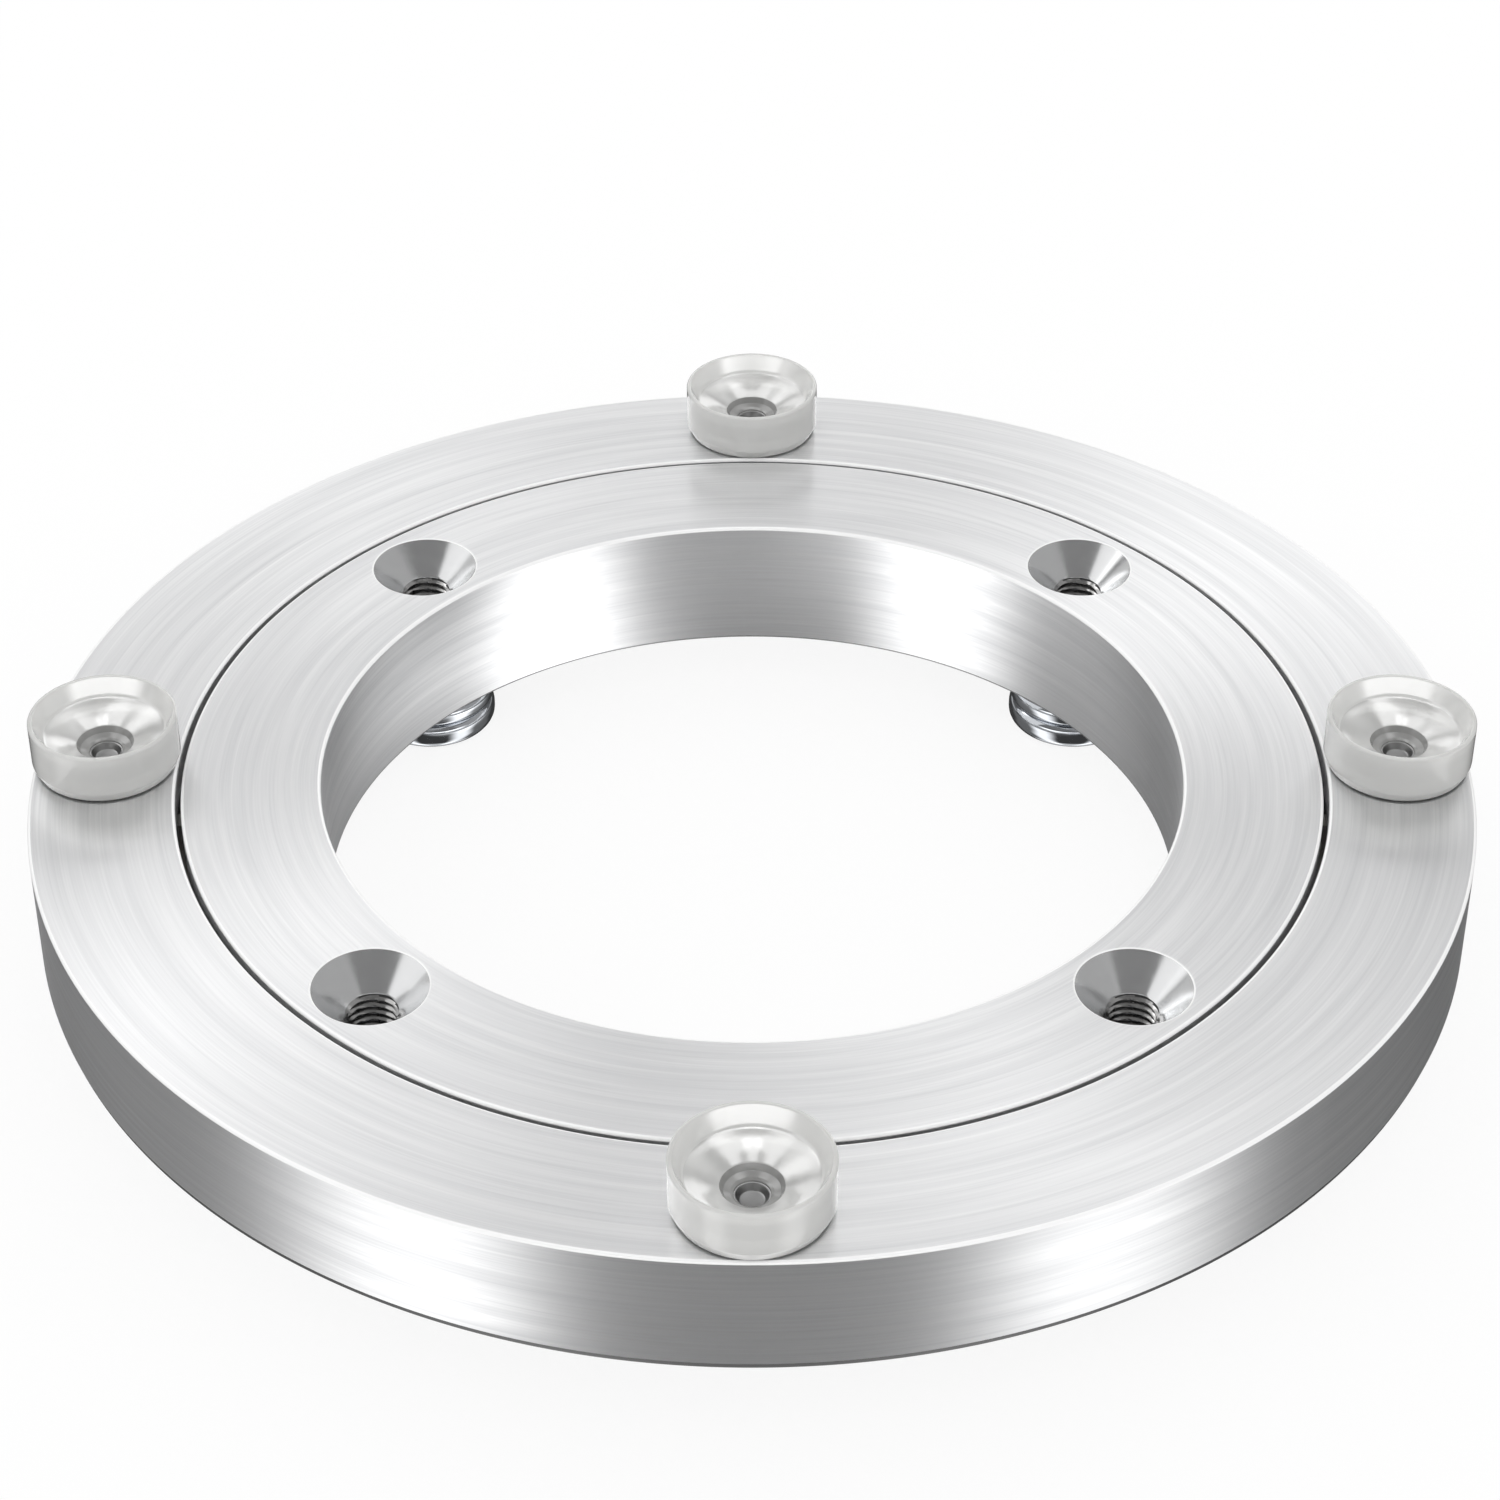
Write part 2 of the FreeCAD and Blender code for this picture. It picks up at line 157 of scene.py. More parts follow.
# How far out in the thread its root's painted black shade begins, from 0 at the crest to 1
ROOT_DEPTH = 0.6

# The values that a noise mostly takes
NOISE_SPAN = (0.3, 0.7)

Thread = namedtuple("Thread", "low high minor major pitch")


def make_camera():
    """The camera at the photograph's viewing angle."""
    data = bpy.data.cameras.new("camera")
    data.lens = CAMERA_LENS
    data.sensor_width = SENSOR
    camera = bpy.data.objects.new("camera", data)
    camera.location = CAMERA_PLACE
    camera.rotation_euler = (math.radians(CAMERA_TILT), 0, 0)
    bpy.context.scene.collection.objects.link(camera)
    bpy.context.scene.camera = camera
    bpy.context.scene.view_settings.view_transform = "Standard"


def node(tree, kind, inputs=None, **settings):
    """Adds a shader node, sets its fields, and fills its inputs with values or with other nodes' outputs."""
    made = tree.nodes.new("ShaderNode" + kind)
    for name, value in settings.items():
        setattr(made, name, value)
    for name, value in (inputs or {}).items():
        if isinstance(value, bpy.types.NodeSocket):
            tree.links.new(value, made.inputs[name])
        else:
            made.inputs[name].default_value = value
    return made


def math_node(tree, operation, *values):
    """The output of a Math node."""
    made = node(tree, "Math", dict(enumerate(values)), operation=operation)
    return made.outputs[0]


def mix_colour(tree, factor, first, second):
    """The output of a colour Mix node."""
    made = node(tree, "Mix", data_type="RGBA")
    for index, value in ((0, factor), (6, first), (7, second)):
        if isinstance(value, bpy.types.NodeSocket):
            tree.links.new(value, made.inputs[index])
        else:
            made.inputs[index].default_value = value
    return made.outputs[2]


def ranged(tree, value, low, high, out_low, out_high, smooth=False):
    """The value brought from one range to another, and held inside it."""
    kind = "SMOOTHSTEP" if smooth else "LINEAR"
    inputs = {"Value": value, "From Min": low, "From Max": high, "To Min": out_low, "To Max": out_high}
    return node(tree, "MapRange", inputs, interpolation_type=kind).outputs[0]


def new_material(name):
    """An empty material, its node tree and its surface shader."""
    material = bpy.data.materials.new(name)
    material.use_nodes = True
    tree = material.node_tree
    tree.nodes.clear()
    shader = node(tree, "BsdfPrincipled")
    output = node(tree, "OutputMaterial")
    tree.links.new(shader.outputs[0], output.inputs["Surface"])
    return material, tree, shader


def grey(level):
    """A neutral colour."""
    return (level, level, level, 1)


def round_place(tree):
    """Direction round the turning axis and distance from it, of a point in the object's own frame."""
    parts = node(tree, "SeparateXYZ", {0: node(tree, "TexCoord").outputs["Object"]}).outputs
    flat = node(tree, "CombineXYZ", {"X": parts["X"], "Y": parts["Y"]}).outputs[0]
    radius = node(tree, "VectorMath", {0: flat}, operation="LENGTH").outputs["Value"]
    facing = node(tree, "VectorMath", {0: flat}, operation="NORMALIZE").outputs["Vector"]
    return facing, radius, parts["Z"]


STUDIO_BASE = 0.055
SOFTBOXES = (
    # azimuth, half width, edge, lowest, highest, edge, strength
    (-55, 5, 25, -80, -14, 10, 1.6),
    (57, 5, 25, -80, -14, 10, 1.48),
    (100, 15, 20, -80, -10, 8, 0.11),
    (-100, 15, 20, -80, -10, 8, 0.12),
    (0, 45, 25, 6, 20, 4, 2.0),
    (0, 60, 10, 40, 60, 6, 0.05),
    (-90, 24, 4, 14, 52, 6, 0.8),
    (-132, 14, 8, -2, 18, 5, 0.42),
    (96, 43, 12, 2, 45, 8, 0.24),
    (0, 180, 4, 2, 130, 5, 0.13),
    (180, 8, 10, 11, 27, 7, 1.26),
    (160, 6, 8, 11, 27, 7, 1.75),
    (-160, 6, 8, 11, 27, 7, 1.34),
    (-140, 17, 19, 39, 56, 8, 1.2),
    (-125, 14, 12, 34, 46, 8, 1.0),
    (155, 15, 20, 42, 64, 12, 0.57),
    (164, 18, 15, 52, 60, 6, 0.5),
    (0, 180, 4, 85, 120, 5, 2.4),
    (112, 22, 18, 64, 86, 6, 2.0),
    (-112, 22, 18, 64, 86, 6, 2.0),
    (0, 180, 4, -130, -68, 8, 0.7),
)


def make_world():
    """Plain soft studio light: white to the camera, even to dull surfaces, with softboxes for the gloss."""
    world = bpy.data.worlds.new("studio")
    bpy.context.scene.world = world
    world.use_nodes = True
    world.cycles.sampling_method = "NONE"
    tree = world.node_tree
    tree.nodes.clear()
    direction = node(tree, "TexCoord").outputs["Generated"]
    parts = node(tree, "SeparateXYZ", {0: direction}).outputs
    towards = math_node(tree, "MULTIPLY", parts["Y"], -1.0)
    azimuth = math_node(tree, "DEGREES", math_node(tree, "ARCTAN2", parts["X"], towards))
    elevation = math_node(tree, "DEGREES", math_node(tree, "ARCSINE", parts["Z"]))
    total = STUDIO_BASE
    for centre, width, blur, low, high, edge, strength in SOFTBOXES:
        offset = math_node(tree, "SUBTRACT", azimuth, float(centre))
        offset = math_node(tree, "ABSOLUTE", math_node(tree, "WRAP", offset, -180.0, 180.0))
        across = ranged(tree, offset, width, width + blur, strength, 0, True)
        above = ranged(tree, elevation, low - edge, low, 0, 1, True)
        below = ranged(tree, elevation, high, high + edge, 1, 0, True)
        lit = math_node(tree, "MULTIPLY", across, math_node(tree, "MULTIPLY", above, below))
        total = math_node(tree, "ADD", total, lit)
    ray = node(tree, "LightPath").outputs
    plain = math_node(tree, "MAXIMUM", ray["Is Camera Ray"], ray["Is Transmission Ray"])
    plain = math_node(tree, "MAXIMUM", plain, ray["Is Diffuse Ray"])
    level = mix_colour(tree, plain, total, grey(1))
    background = node(tree, "Background", {"Color": level, "Strength": 1.0})
    output = node(tree, "OutputWorld")
    tree.links.new(background.outputs[0], output.inputs["Surface"])


# The floor's half side, how much of its colour at the camera is real light, and the glow inside the bore
FLOOR_HALF = 3.0
FLOOR_SHADOW = 0.15
GLOW_INNER, GLOW_OUTER = 0.031, 0.042
GLOW_RISE = (-0.026, -0.014, 0.6, 1.2)
GLOW_FALL = (-0.012, -0.002, 1, 0.08)


def make_floor():
    """A plain pale floor, white to the camera but for the object's soft shadow.

    Inside the bore it has a glow that only glossy surfaces see.
    """
    mesh = bpy.data.meshes.new("floor")
    corners = [(-1, -1), (1, -1), (1, 1), (-1, 1)]
    mesh.from_pydata([(x * FLOOR_HALF, y * FLOOR_HALF, 0) for x, y in corners], [], [(0, 1, 2, 3)])
    floor = bpy.data.objects.new("floor", mesh)
    bpy.context.scene.collection.objects.link(floor)
    material, tree, shader = new_material("pale_floor")
    shader.inputs["Base Color"].default_value = grey(1)
    shader.inputs["Roughness"].default_value = 1
    shader.inputs["Specular IOR Level"].default_value = 0
    white = node(tree, "Emission", {"Color": grey(1), "Strength": 1.0})
    seen = node(tree, "MixShader", {0: FLOOR_SHADOW})
    tree.links.new(white.outputs[0], seen.inputs[1])
    tree.links.new(shader.outputs[0], seen.inputs[2])
    ray = node(tree, "LightPath").outputs
    below = node(tree, "NewGeometry").outputs["Backfacing"]
    behind = math_node(tree, "MULTIPLY", below, ray["Is Camera Ray"])
    clear = math_node(tree, "MAXIMUM", behind, ray["Is Glossy Ray"])
    through = node(tree, "BsdfTransparent")
    radius = round_place(tree)[1]
    along = node(tree, "SeparateXYZ", {0: node(tree, "TexCoord").outputs["Object"]}).outputs["X"]
    glow = math_node(
        tree, "MULTIPLY",
        ranged(tree, along, *GLOW_RISE, True),
        ranged(tree, along, *GLOW_FALL, True),
    )
    glow = math_node(tree, "MULTIPLY", glow, ranged(tree, radius, GLOW_INNER, GLOW_OUTER, 1, 0, True))
    glow = math_node(tree, "MULTIPLY", glow, ray["Is Glossy Ray"])
    lit = node(tree, "Emission", {"Color": grey(1), "Strength": glow})
    bright = node(tree, "AddShader")
    tree.links.new(through.outputs[0], bright.inputs[0])
    tree.links.new(lit.outputs[0], bright.inputs[1])
    mixed = node(tree, "MixShader", {0: clear})
    tree.links.new(seen.outputs[0], mixed.inputs[1])
    tree.links.new(bright.outputs[0], mixed.inputs[2])
    output = next(n for n in tree.nodes if n.type == "OUTPUT_MATERIAL")
    tree.links.new(mixed.outputs[0], output.inputs["Surface"])
    mesh.materials.append(material)


def speckled(name, scale, detail, colours, rough, metallic=1.0):
    """A material whose colour and roughness vary faintly with a noise, and its shader."""
    material, tree, shader = new_material(name)
    place = node(tree, "TexCoord").outputs["Object"]
    noise = node(tree, "TexNoise", {"Vector": place, "Scale": scale, "Detail": detail}).outputs["Fac"]
    tree.links.new(mix_colour(tree, noise, *colours), shader.inputs["Base Color"])
    tree.links.new(ranged(tree, noise, *NOISE_SPAN, *rough), shader.inputs["Roughness"])
    shader.inputs["Metallic"].default_value = metallic
    return material, shader


def streaks(tree, broken, fine, detail):
    """Noise that is long round the turning axis and fine across it, as turning and brushing leave it."""
    facing, radius, height = round_place(tree)
    parts = node(tree, "SeparateXYZ", {0: facing}).outputs
    inputs = {
        "X": math_node(tree, "MULTIPLY", parts["X"], broken),
        "Y": math_node(tree, "MULTIPLY", parts["Y"], broken),
        "Z": math_node(tree, "MULTIPLY", radius, fine),
    }
    place = node(tree, "CombineXYZ", inputs).outputs[0]
    layer = math_node(tree, "MULTIPLY", height, fine)
    values = {"Vector": place, "W": layer, "Scale": 1.0, "Detail": detail, "Roughness": 0.6}
    return node(tree, "TexNoise", values, noise_dimensions="4D").outputs["Fac"]


FINE_SHARE = 0.45
BRUSHED_ROUGH = (0.39, 0.31)


def brushed_aluminium():
    """Turned and brushed aluminium, with streaks that run round the axis."""
    material, tree, shader = new_material("brushed_aluminium")
    fine = ranged(tree, streaks(tree, 2.6, 5200.0, 3.0), *NOISE_SPAN, 0, 1)
    broad = ranged(tree, streaks(tree, 1.7, 900.0, 2.0), *NOISE_SPAN, 0, 1)
    both = math_node(
        tree, "ADD",
        math_node(tree, "MULTIPLY", fine, FINE_SHARE),
        math_node(tree, "MULTIPLY", broad, 1 - FINE_SHARE),
    )
    colour = mix_colour(tree, both, (0.73, 0.735, 0.745, 1), (0.97, 0.972, 0.975, 1))
    tree.links.new(colour, shader.inputs["Base Color"])
    tree.links.new(ranged(tree, both, 0, 1, *BRUSHED_ROUGH), shader.inputs["Roughness"])
    shader.inputs["Metallic"].default_value = 1
    shader.inputs["Anisotropic"].default_value = 0.85
    shader.inputs["Anisotropic Rotation"].default_value = 0.25
    tangent = node(tree, "Tangent", direction_type="RADIAL", axis="Z")
    tree.links.new(tangent.outputs[0], shader.inputs["Tangent"])
    bump = node(tree, "Bump", {"Strength": 0.25, "Distance": 0.004 * MM, "Height": fine})
    tree.links.new(bump.outputs[0], shader.inputs["Normal"])
    return material


def painted_edge_light_and_shade(name, dark, light, metallic):
    """A fine bevel of the rings, its colour painted light: the top ones nearly white as a painted highlight,
    the low ones dark as painted shade.
    """
    material, tree, shader = new_material(name)
    noise = streaks(tree, 2.6, 5200.0, 2.0)
    tree.links.new(mix_colour(tree, noise, grey(dark), grey(light)), shader.inputs["Base Color"])
    tree.links.new(ranged(tree, noise, *NOISE_SPAN, 0.3, 0.4), shader.inputs["Roughness"])
    shader.inputs["Metallic"].default_value = metallic
    return material


def bored_aluminium():
    """Aluminium as a countersink leaves it: bright, with faint chatter."""
    colours = ((0.78, 0.785, 0.79, 1), (0.83, 0.835, 0.84, 1))
    return speckled("bored_aluminium", 900.0, 3.0, colours, (0.17, 0.22))[0]


def tapped_aluminium():
    """The slightly oily walls of a tapped hole, darkened as painted shade."""
    colours = ((0.46, 0.455, 0.45, 1), (0.58, 0.575, 0.57, 1))
    return speckled("tapped_aluminium", 1500.0, 3.0, colours, (0.12, 0.18))[0]


def thread_root_painted_shade():
    """The oily roots of the tapped threads, painted black as shade."""
    return speckled("thread_root_painted_shade", 1500.0, 3.0, (grey(0.04), grey(0.08)), (0.3, 0.4), 0.6)[0]


def chrome(name, dark, light):
    """Chromed or polished steel, a little uneven."""
    return speckled(name, 400.0, 2.0, (dark, light), (0.05, 0.1))[0]


def stud_steel(name, dark, light):
    """Plated steel of the studs and of the set screw."""
    return speckled(name, 1200.0, 3.0, (grey(dark), grey(light)), (0.28, 0.42))[0]


def nylon():
    """Off-white moulded nylon."""
    colours = ((0.7, 0.69, 0.64, 1), (0.8, 0.79, 0.75, 1))
    return speckled("cage_nylon", 600.0, 4.0, colours, (0.42, 0.55), 0.0)[0]


def silicone(name, dark, light, rough, transmission, coat):
    """Soft clear silicone with a milky haze inside. The coat is the index of its shiny skin."""
    colours = [(level, level, 0.98 * level, 1) for level in (dark, light)]
    material, shader = speckled(name, 260.0, 3.0, colours, (rough, rough + 0.05), 0.0)
    shader.inputs["IOR"].default_value = 1.41
    shader.inputs["Subsurface Weight"].default_value = 0.15
    shader.inputs["Subsurface Radius"].default_value = (1, 1, 1)
    shader.inputs["Subsurface Scale"].default_value = 2.5 * MM
    shader.inputs["Transmission Weight"].default_value = transmission
    shader.inputs["Coat Weight"].default_value = 1
    shader.inputs["Coat Roughness"].default_value = 0.14
    shader.inputs["Coat IOR"].default_value = coat
    return material


def rounded(corners):
    """A closed outline of (radius, height, rounding, arc, stretch) corners, with arcs at the rounded ones.

    Arc and stretch are the materials of the corner's arc and of the straight stretch after it. They may be
    left out where they are the plain one.
    """
    outline = []
    for index, (across, up, rounding, *marks) in enumerate(corners):
        arc, stretch = (*marks, PLAIN, PLAIN)[:2]
        here = Vector((across, up))
        before = Vector(corners[index - 1][:2]) - here
        after = Vector(corners[(index + 1) % len(corners)][:2]) - here
        if not rounding:
            outline.append((here, stretch))
            continue
        to_before, to_after = before.normalized(), after.normalized()
        opening = to_before.angle(to_after)
        reach = rounding / math.tan(opening / 2)
        middle = (to_before + to_after).normalized()
        centre = here + middle * (rounding / math.sin(opening / 2))
        start = here + to_before * reach - centre
        finish = here + to_after * reach - centre
        turn = math.pi - opening
        if start.x * finish.y < start.y * finish.x:
            turn = -turn
        steps = max(2, round(abs(math.degrees(turn)) / ARC_STEP))
        outline.append((here + to_before * (reach + SUPPORT), PLAIN))
        for step in range(steps + 1):
            mark = arc if step < steps else stretch
            outline.append((centre + Matrix.Rotation(turn * step / steps, 2) @ start, mark))
        outline.append((here + to_after * (reach + SUPPORT), stretch))
    return outline


def new_object(name, bm, materials):
    """An object from a bmesh, with its normals outwards."""
    bmesh.ops.recalc_face_normals(bm, faces=bm.faces)
    mesh = bpy.data.meshes.new(name)
    bm.to_mesh(mesh)
    bm.free()
    for material in materials:
        mesh.materials.append(material)
    made = bpy.data.objects.new(name, mesh)
    bpy.context.scene.collection.objects.link(made)
    return made


def finish_shading(made):
    """Smooth faces, with sharp lines at the corners and where a hole meets the ring."""
    bm = bmesh.new()
    bm.from_mesh(made.data)
    for face in bm.faces:
        face.smooth = True
    for edge in bm.edges:
        faces = edge.link_faces
        if len(faces) == 2:
            bent = edge.calc_face_angle(0) > math.radians(SHARP_ANGLE)
            edge.smooth = not bent and faces[0].material_index == faces[1].material_index
    bm.to_mesh(made.data)
    bm.free()


def turned(name, outline, segments, materials, centre=(0.0, 0.0, 0.0), thread=None):
    """A turned piece: a closed outline of radius and height swept round an upright axis."""
    bm = bmesh.new()
    columns = []
    poles = {}
    for column in range(segments):
        part = column / segments
        angle = math.tau * part
        points = []
        for row, (point, mark) in enumerate(outline):
            if point[0] < ON_AXIS:
                if row not in poles:
                    poles[row] = bm.verts.new((centre[0] * MM, centre[1] * MM, (centre[2] + point[1]) * MM))
                points.append(poles[row])
                continue
            radius = point[0]
            if thread and thread.low < point[1] < thread.high and radius >= thread.minor:
                radius = thread_radius(point[1], part, thread)
            x = centre[0] + radius * math.cos(angle)
            y = centre[1] + radius * math.sin(angle)
            points.append(bm.verts.new((x * MM, y * MM, (centre[2] + point[1]) * MM)))
        columns.append(points)
    for column in range(segments):
        here, there = columns[column], columns[(column + 1) % segments]
        for row in range(len(outline)):
            corner = (row + 1) % len(outline)
            loop = [here[row], there[row], there[corner], here[corner]]
            face = [v for index, v in enumerate(loop) if v not in loop[:index]]
            if len(face) > 2:
                bm.faces.new(face).material_index = outline[row][1]
    return new_object(name, bm, materials)


def thread_radius(height, turn, thread):
    """Radius of a thread with a flat at its crest and its root, at a height and a part of a turn."""
    along = ((height / thread.pitch - turn) % 1) * 2
    slope = abs(along - 1)
    depth = min(max((slope - THREAD_FLAT) / (1 - 2 * THREAD_FLAT), 0), 1)
    return thread.minor + (thread.major - thread.minor) * depth


def thread_rows(radius, low, high):
    """Corners up a threaded stretch, close enough together to show the thread."""
    steps = round((high - low) / THREAD_STEP)
    return [(radius, low + (high - low) * step / steps, 0) for step in range(steps + 1)]


def column_cutter(bm, rows, centre, segments, thread=None):
    """Adds an upright round solid to the bmesh, with a thread where one is given.

    The rows are height, radius and the material from there to the next row. A thread's roots get their own,
    black as painted shade.
    """
    rings = []
    depths = []
    for height, radius, mark in rows:
        ring = []
        depth = []
        for column in range(segments):
            part = column / segments
            reach = radius
            if thread and thread.low < height < thread.high:
                reach = max(radius, thread_radius(height, part, thread))
                depth.append((reach - thread.minor) / (thread.major - thread.minor))
            else:
                depth.append(0)
            x = centre[0] + reach * math.cos(math.tau * part)
            y = centre[1] + reach * math.sin(math.tau * part)
            ring.append(bm.verts.new((x * MM, y * MM, height * MM)))
        rings.append(ring)
        depths.append(depth)
    for index, (low, high, row) in enumerate(zip(rings, rings[1:], rows)):
        for column in range(segments):
            after = (column + 1) % segments
            face = bm.faces.new((low[column], low[after], high[after], high[column]))
            # Faces deep in a thread's root get the black of painted shade
            deep = min(depths[index][column], depths[index + 1][column]) > ROOT_DEPTH
            face.material_index = ROOT_SHADE if deep and row[2] == TAPPED else row[2]
    bm.faces.new(rings[0])
    bm.faces.new(rings[-1])


def on_circle(radius, angle):
    """A point on a circle round the axis."""
    return (radius * math.cos(math.radians(angle)), radius * math.sin(math.radians(angle)))


def screw_hole_rows():
    """Rows of a countersunk hole from below the inner ring to above it."""
    rows = [
        (INNER_BOTTOM - CUT_PAST, FOOT_HOLE_RADIUS, TAPPED),
        (THREAD_LOW - THREAD_MARGIN, FOOT_HOLE_RADIUS, TAPPED),
    ]
    steps = round((CONE_LOW - THREAD_LOW) / THREAD_STEP) + CONE_FIRST_ROWS
    for step in range(1, steps + 1):
        height = THREAD_LOW + step * THREAD_STEP
        mark = TAPPED if height < CONE_LOW - THREAD_STEP else BORED
        rows.append((height, max(THREAD_MINOR, HOLE_RADIUS + height - CONE_LOW), mark))
    rows += [(CONE_LOW + rise, HOLE_RADIUS + rise, BORED) for rise in CONE_ROWS]
    centre = SINK_RADIUS + SINK_EDGE * math.tan(math.radians(SINK_EDGE_ANGLES[0] / 2))
    for angle in SINK_EDGE_ANGLES:
        radius = centre - SINK_EDGE * math.sin(math.radians(angle))
        rows.append((TOP - SINK_EDGE * (1 - math.cos(math.radians(angle))), radius, EDGE_HIGHLIGHT))
    rows.append((TOP + SINK_EDGE / 10, centre + SINK_EDGE / 10, EDGE_HIGHLIGHT))
    rows.append((TOP + CUT_PAST, centre + SINK_EDGE / 2, EDGE_HIGHLIGHT))
    return rows


def cut(made, cutter):
    """Takes the cutter's solids out of a piece."""
    modifier = made.modifiers.new("cut", "BOOLEAN")
    modifier.operation = "DIFFERENCE"
    modifier.solver = "EXACT"
    modifier.object = cutter
    modifier.material_mode = "TRANSFER"
    bpy.context.view_layer.update()
    shape = made.evaluated_get(bpy.context.evaluated_depsgraph_get())
    mesh = bpy.data.meshes.new_from_object(shape)
    made.modifiers.clear()
    made.data = mesh
    bpy.data.objects.remove(cutter)


def make_inner_ring(skins, cuts):
    """The base ring with its four countersunk, tapped holes."""
    corners = [
        (PITCH - CHANNEL, INNER_BOTTOM, EDGE_BELOW),
        # The bore's bottom bevel is dark: painted shade
        (BORE, INNER_BOTTOM, EDGE, BORE_EDGE_SHADE),
        (BORE, TOP, EDGE, TOP_EDGE_HIGHLIGHT),
        (INNER_RIM, TOP, EDGE, TOP_EDGE_HIGHLIGHT),
        (INNER_RIM, BALL_HEIGHT + REACH - GAP, 0),
        (PITCH - REACH + FLAT, BALL_HEIGHT + FLAT, 0),
        (PITCH - REACH + FLAT, BALL_HEIGHT - FLAT, 0),
        (PITCH - CHANNEL, BALL_HEIGHT - REACH + CHANNEL, 0),
    ]
    ring = turned("inner_ring_turned", rounded(corners), RING_SEGMENTS, skins)
    thread = Thread(THREAD_LOW, CONE_LOW + THREAD_MARGIN, THREAD_MINOR, HOLE_RADIUS, THREAD_PITCH)
    bm = bmesh.new()
    for angle in HOLE_ANGLES:
        column_cutter(bm, screw_hole_rows(), on_circle(HOLE_CIRCLE, angle), HOLE_SEGMENTS, thread)
    cut(ring, new_object("screw_holes", bm, cuts))
    finish_shading(ring)
    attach(ring, "base")
    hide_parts("inner_ring")


def make_outer_ring(skins, cuts):
    """The turntable ring with its tapped holes for the pads and the filling hole in its rim."""
    corners = [
        (PITCH + CHANNEL, OUTER_BOTTOM, EDGE_BELOW),
        # The rim's steep bottom bevel is nearly black: a painted shade line
        (RIM - RIM_BEVEL_WIDTH, OUTER_BOTTOM, RIM_BEVEL_ROUNDING, RIM_EDGE_SHADE, RIM_EDGE_SHADE),
        (RIM, OUTER_BOTTOM + RIM_BEVEL_HEIGHT, 0),
        (RIM, TOP, EDGE, TOP_EDGE_HIGHLIGHT),
        (OUTER_BORE, TOP, EDGE, TOP_EDGE_HIGHLIGHT),
        (OUTER_BORE, BALL_HEIGHT + REACH - GAP, 0),
        (PITCH + REACH - FLAT, BALL_HEIGHT + FLAT, 0),
        (PITCH + REACH - FLAT, BALL_HEIGHT - FLAT, 0),
        (PITCH + CHANNEL, BALL_HEIGHT - REACH + CHANNEL, 0),
    ]
    ring = turned("outer_ring_turned", rounded(corners), RING_SEGMENTS, skins)
    bm = bmesh.new()
    for angle in PAD_ANGLES:
        rows = [(TOP - PAD_HOLE_DEPTH, PAD_HOLE_RADIUS, TAPPED), (TOP + CUT_PAST, PAD_HOLE_RADIUS, TAPPED)]
        column_cutter(bm, rows, on_circle(PAD_CIRCLE, angle), HOLE_SEGMENTS)
    plug = bmesh.new()
    inside, outside = PITCH - CHANNEL, RIM + CUT_PAST
    wide = PLUG_HOLE_RADIUS + 2 * PLUG_SINK
    rows = [(inside, PLUG_HOLE_RADIUS, TAPPED), (RIM - PLUG_SINK, PLUG_HOLE_RADIUS, EDGE_HIGHLIGHT)]
    rows += [(RIM + PLUG_SINK, wide, EDGE_HIGHLIGHT), (outside, wide, EDGE_HIGHLIGHT)]
    column_cutter(plug, rows, (0, 0), HOLE_SEGMENTS)
    lie = Matrix.Rotation(math.radians(PLUG_ANGLE), 4, "Z") @ Matrix.Rotation(math.pi / 2, 4, "Y")
    plug.transform(Matrix.Translation((0, 0, BALL_HEIGHT * MM)) @ lie)
    lying = bpy.data.meshes.new("filling_hole")
    plug.to_mesh(lying)
    plug.free()
    bm.from_mesh(lying)
    bpy.data.meshes.remove(lying)
    cut(ring, new_object("outer_holes", bm, cuts))
    finish_shading(ring)
    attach(ring, "turntable")
    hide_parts("outer_ring")


def make_pad(number, angle, materials):
    """One clear pad: a dished button with a thin rounded rim and a stepped hole down to its stud."""
    corners = [
        (FLANGE_RADIUS, 0, 0),
        # The dark bottom corner is a painted contact shadow
        (6.8, 0, 0.3, BASE_SHADE),
        (PAD_RADIUS, 1.0, 0.5),
        (PAD_RADIUS, PAD_HEIGHT, 0.24),
        (6.78, PAD_HEIGHT, 0.18),
        (5.9, 3.5, 0.6),
        (4.9, 3.16, 7.0),
        (3.8, 2.68, 12.0),
        (PAD_WELL_RADIUS, 2.18, 0.15),
        (2.45, 1.6, 0.08),
        (1.85, 1.4, 0.06),
        (1.6, 1.25, 0.06),
        (PAD_EYE_RADIUS, FLANGE_HEIGHT, 0),
        (FLANGE_RADIUS, FLANGE_HEIGHT, 0),
    ]
    outline = []
    for point, mark in rounded(corners):
        across = PAD_EYE_RADIUS - ON_AXIS < point[0] < PAD_MOUTH_RADIUS
        if across and FLANGE_HEIGHT - SUPPORT < point[1] < PAD_MOUTH_HEIGHT:
            # The well's grey is painted shade
            mark = WELL_SHADE if point[0] < PAD_WELL_RADIUS else DISH if point[1] < PAD_DISH_HEIGHT else PAD_RIM
        outline.append((point, mark))
    centre = (*on_circle(PAD_CIRCLE, angle), TOP)
    pad = turned(f"pad_{number}_moulded", outline, PAD_SEGMENTS, materials, centre)
    finish_shading(pad)
    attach(pad, "turntable")
    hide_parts(f"pad_{number}")


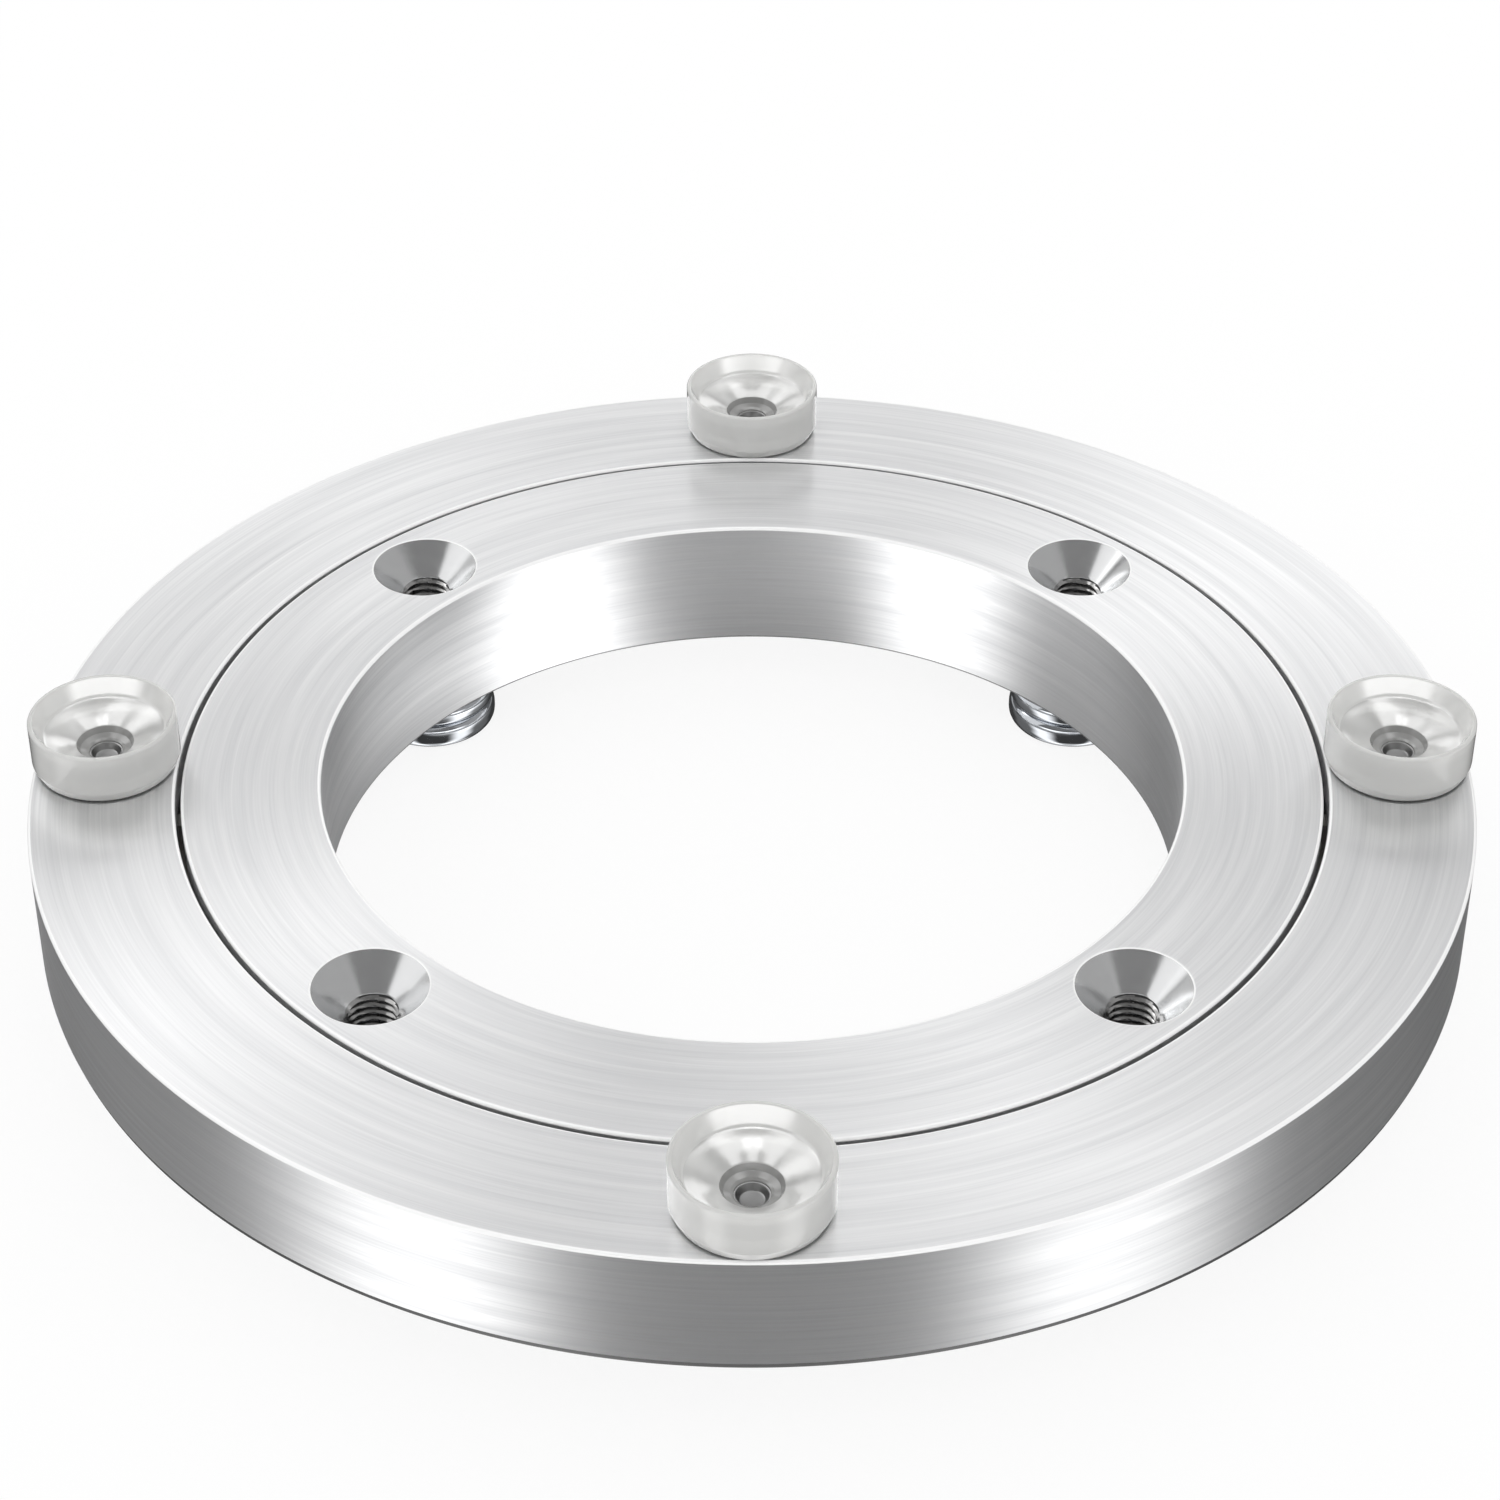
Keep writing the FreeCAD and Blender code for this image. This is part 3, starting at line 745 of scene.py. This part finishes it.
def make_stud(number, angle, materials):
    """The stud moulded into a pad: its flange with a drilled eye, and its threaded shank."""
    thread = Thread(-4.7, -0.3, 1.5, 1.81, 0.7)
    corners = [
        (0, -STUD_LENGTH, 0),
        (thread.minor, -STUD_LENGTH, 0),
        *thread_rows(STUD_RADIUS, thread.low, thread.high),
        (STUD_RADIUS, 0, 0),
        (FLANGE_RADIUS, 0, 0),
        (FLANGE_RADIUS, FLANGE_HEIGHT, 0.1),
        # The eye's recess gets the darker steel of painted shade
        (STUD_EYE_RADIUS, FLANGE_HEIGHT, 0.1, EYE_SHADE),
        (1.1, 0.5, 0.15, EYE_SHADE),
        (0, 0.35, 0),
    ]
    outline = []
    for point, mark in rounded(corners):
        in_eye = point[0] < STUD_EYE_RADIUS + 2 * ON_AXIS and point[1] > 0
        outline.append((point, EYE_SHADE if in_eye else mark))
    centre = (*on_circle(PAD_CIRCLE, angle), TOP)
    stud = turned(f"pad_stud_{number}_turned", outline, STUD_SEGMENTS, materials, centre, thread)
    finish_shading(stud)
    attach(stud, "turntable")
    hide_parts(f"pad_stud_{number}")


def make_foot(number, angle, material):
    """One chromed foot: two bulging tiers and the stud that screws up into the inner ring."""
    thread = Thread(5.4, 10.7, 1.95, FOOT_STUD_RADIUS, THREAD_PITCH)
    corners = [
        (0, 0, 0),
        (FOOT_RADIUS, 0, 1.2),
        (FOOT_RADIUS, 2.9, 1.1),
        (FOOT_NECK_RADIUS, 2.9, 0),
        (FOOT_NECK_RADIUS, 3.05, 0),
        (FOOT_RADIUS, 3.05, 0.6),
        (FOOT_RADIUS, FOOT_HEIGHT, 1.0),
        (FOOT_STUD_RADIUS, FOOT_HEIGHT, 0),
        *thread_rows(FOOT_STUD_RADIUS, thread.low, thread.high),
        (2.0, FOOT_STUD_TOP, 0),
        (0, FOOT_STUD_TOP, 0),
    ]
    centre = (*on_circle(HOLE_CIRCLE, angle), 0.0)
    foot = turned(f"foot_{number}_turned", rounded(corners), FOOT_SEGMENTS, [material], centre, thread)
    finish_shading(foot)
    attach(foot, "base")
    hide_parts(f"foot_{number}")


def dress(name, material):
    """Gives a CAD node its material."""
    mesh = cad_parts[name].data
    mesh.materials.clear()
    mesh.materials.append(material)


def main():
    make_camera()
    make_world()
    make_floor()
    # Nearly white bevels on the top edges, the countersinks and the filling hole: a painted highlight
    edge = painted_edge_light_and_shade("painted_edge_light_and_shade", 0.95, 0.99, 0.08)
    skins = [
        brushed_aluminium(),
        edge,
        # Dark bevels at the bottom of the bore and of the rim: painted shade
        painted_edge_light_and_shade("bore_edge_painted_shade", 0.22, 0.3, 0.6),
        painted_edge_light_and_shade("rim_edge_painted_shade", 0.03, 0.06, 0),
    ]
    # The thread roots' black and the tapped walls' grey are painted shade
    cuts = [bored_aluminium(), tapped_aluminium(), edge, thread_root_painted_shade()]
    make_inner_ring(skins, cuts)
    make_outer_ring(skins, cuts)
    steel = stud_steel("stud_steel", 0.6, 0.7)
    soft = [
        silicone("silicone_wall", 0.88, 0.95, 0.1, 0.35, 1.3),
        # A dark line round the pad's foot: painted contact shadow
        silicone("silicone_base_painted_shade", 0.2, 0.26, 0.2, 0, 1.3),
        silicone("silicone_dish", 0.9, 0.96, 0.16, 0.4, 2.4),
        # The hole's wall, greyed as painted shade from the dark stud below
        silicone("silicone_well_painted_shade", 0.34, 0.4, 0.07, 0.2, 1.6),
        silicone("silicone_rim", 0.95, 0.99, 0.12, 0.3, 2.4),
    ]
    # The eye's darker steel is painted shade in its recess
    studs = [steel, stud_steel("stud_eye_painted_shade", 0.3, 0.36)]
    for number, angle in enumerate(PAD_ANGLES, start=1):
        make_pad(number, angle, soft)
        make_stud(number, angle, studs)
    foot_chrome = chrome("foot_chrome", (0.55, 0.57, 0.6, 1), (0.65, 0.67, 0.7, 1))
    for number, angle in enumerate(HOLE_ANGLES, start=1):
        make_foot(number, angle, foot_chrome)
    ball_chrome = chrome("ball_steel", (0.62, 0.62, 0.63, 1), (0.7, 0.7, 0.71, 1))
    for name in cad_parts:
        if name.startswith("ball_") and name != "ball_cage":
            dress(name, ball_chrome)
    dress("filler_plug", steel)
    dress("ball_cage", nylon())


main()
